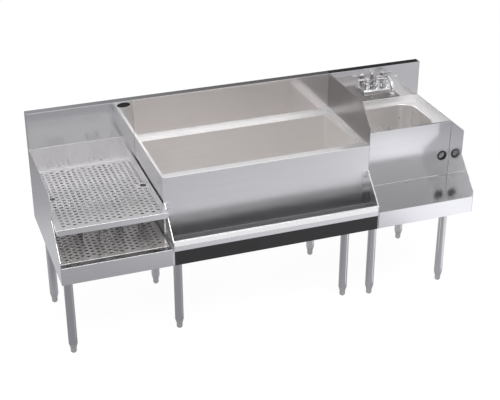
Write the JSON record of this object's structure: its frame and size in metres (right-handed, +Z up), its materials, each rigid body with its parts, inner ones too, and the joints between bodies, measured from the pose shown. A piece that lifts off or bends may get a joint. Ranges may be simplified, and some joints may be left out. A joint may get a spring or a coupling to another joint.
{
  "type": "bar sink with ice bin",
  "caption": "Underbar steel unit: two-tier perforated drain station, insulated ice bin with bottle rail, and bar sink station with a splash-mounted faucet, on round legs.",
  "frame": {"origin": "on the floor under the middle of the unit's bounding box", "axes": "+X to the user's right along the unit, +Y from the user towards the backsplash, +Z up"},
  "size_m": [1.8288, 0.6096, 0.9444],
  "materials": {
    "brushed_steel": "satin brushed stainless sheet",
    "satin_steel": "satin stainless, finer grain",
    "galvanised_steel": "dull zinc",
    "fastener_steel": "turned stainless",
    "cast_metal": "machined, dull",
    "chrome": "polished plating",
    "black_plastic": "gloss moulded",
    "black_rubber": "matte",
    "grey_nylon": "matte moulded",
    "foam": "closed-cell foam"
  },
  "bodies": {
    "frame": {"left_end_panel": "brushed_steel", "right_end_panel": "brushed_steel", "sink_side_splash": "brushed_steel", "backsplash_left": "brushed_steel", "backsplash_center": "brushed_steel", "backsplash_right": "brushed_steel", "drain_back_wall": "brushed_steel", "drain_pan": "brushed_steel", "pan_drain": "cast_metal", "bin_shell": "brushed_steel", "bin_liner": "satin_steel", "bin_insulation": "foam", "bin_drain": "cast_metal", "drain_nuts": "cast_metal", "bin_side_screw": "fastener_steel", "rail_trough": "black_plastic", "rail_guard": "satin_steel", "rail_left_bracket": "brushed_steel", "rail_right_bracket": "brushed_steel", "rail_screws": "fastener_steel", "blender_shelf": "brushed_steel", "sink_front_panel": "brushed_steel", "sink_deck": "satin_steel", "sink_bowl": "satin_steel", "cord_grommet": "black_rubber", "sink_drain_body": "satin_steel", "sink_lock_nut": "cast_metal", "sink_tailpiece": "chrome", "faucet_body": "chrome", "inlet_shanks": "cast_metal", "shank_nuts": "cast_metal", "valve_bonnets": "chrome", "spout_nut": "chrome", "support_channels": "galvanised_steel", "leg_sockets": "galvanised_steel", "leg_tubes": "brushed_steel", "leg_plugs": "grey_nylon"},
    "lower_insert": {"lower_insert_sheet": "brushed_steel", "lower_insert_frame": "brushed_steel"},
    "upper_shelf": {"upper_shelf_sheet": "brushed_steel", "upper_shelf_frame": "brushed_steel", "shelf_legs": "brushed_steel"},
    "basket": {"strainer_basket": "satin_steel"},
    "spout_arm": {"spout": "chrome", "aerator": "chrome"},
    "left_handle": {"left_lever": "chrome", "left_valve_stem": "cast_metal", "left_lever_screw": "fastener_steel"},
    "right_handle": {"right_lever": "chrome", "right_valve_stem": "cast_metal", "right_lever_screw": "fastener_steel"},
    "foot_1_body": {"foot_1": "grey_nylon"},
    "foot_2_body": {"foot_2": "grey_nylon"},
    "foot_3_body": {"foot_3": "grey_nylon"},
    "foot_4_body": {"foot_4": "grey_nylon"},
    "foot_5_body": {"foot_5": "grey_nylon"},
    "foot_6_body": {"foot_6": "grey_nylon"},
    "foot_7_body": {"foot_7": "grey_nylon"},
    "foot_8_body": {"foot_8": "grey_nylon"},
    "foot_9_body": {"foot_9": "grey_nylon"}
  },
  "joints": [
    {"name": "lower_insert_lift", "type": "slide", "parent": "frame", "child": "lower_insert", "axis": [0, 0, 1], "range_m": [0, 0.12]},
    {"name": "upper_shelf_lift", "type": "slide", "parent": "lower_insert", "child": "upper_shelf", "axis": [0, 0, 1], "range_m": [0, 0.15]},
    {"name": "basket_lift", "type": "slide", "parent": "frame", "child": "basket", "axis": [0, 0, 1], "range_m": [0, 0.12]},
    {"name": "spout_swivel", "type": "hinge", "parent": "frame", "child": "spout_arm", "pos_m": [0.6858, 0.2417, 0.88], "axis": [0, 0, 1], "range_deg": [-90, 90]},
    {"name": "left_handle_turn", "type": "hinge", "parent": "frame", "child": "left_handle", "pos_m": [0.635, 0.2417, 0.88], "axis": [0, 0, 1], "range_deg": [0, 90]},
    {"name": "right_handle_turn", "type": "hinge", "parent": "frame", "child": "right_handle", "pos_m": [0.7366, 0.2417, 0.88], "axis": [0, 0, -1], "range_deg": [0, 90]},
    {"name": "foot_1_screw", "type": "slide", "parent": "frame", "child": "foot_1_body", "axis": [0, 0, -1], "range_m": [0, 0.025]},
    {"name": "foot_2_screw", "type": "slide", "parent": "frame", "child": "foot_2_body", "axis": [0, 0, -1], "range_m": [0, 0.025]},
    {"name": "foot_3_screw", "type": "slide", "parent": "frame", "child": "foot_3_body", "axis": [0, 0, -1], "range_m": [0, 0.025]},
    {"name": "foot_4_screw", "type": "slide", "parent": "frame", "child": "foot_4_body", "axis": [0, 0, -1], "range_m": [0, 0.025]},
    {"name": "foot_5_screw", "type": "slide", "parent": "frame", "child": "foot_5_body", "axis": [0, 0, -1], "range_m": [0, 0.025]},
    {"name": "foot_6_screw", "type": "slide", "parent": "frame", "child": "foot_6_body", "axis": [0, 0, -1], "range_m": [0, 0.025]},
    {"name": "foot_7_screw", "type": "slide", "parent": "frame", "child": "foot_7_body", "axis": [0, 0, -1], "range_m": [0, 0.025]},
    {"name": "foot_8_screw", "type": "slide", "parent": "frame", "child": "foot_8_body", "axis": [0, 0, -1], "range_m": [0, 0.025]},
    {"name": "foot_9_screw", "type": "slide", "parent": "frame", "child": "foot_9_body", "axis": [0, 0, -1], "range_m": [0, 0.025]}
  ]
}
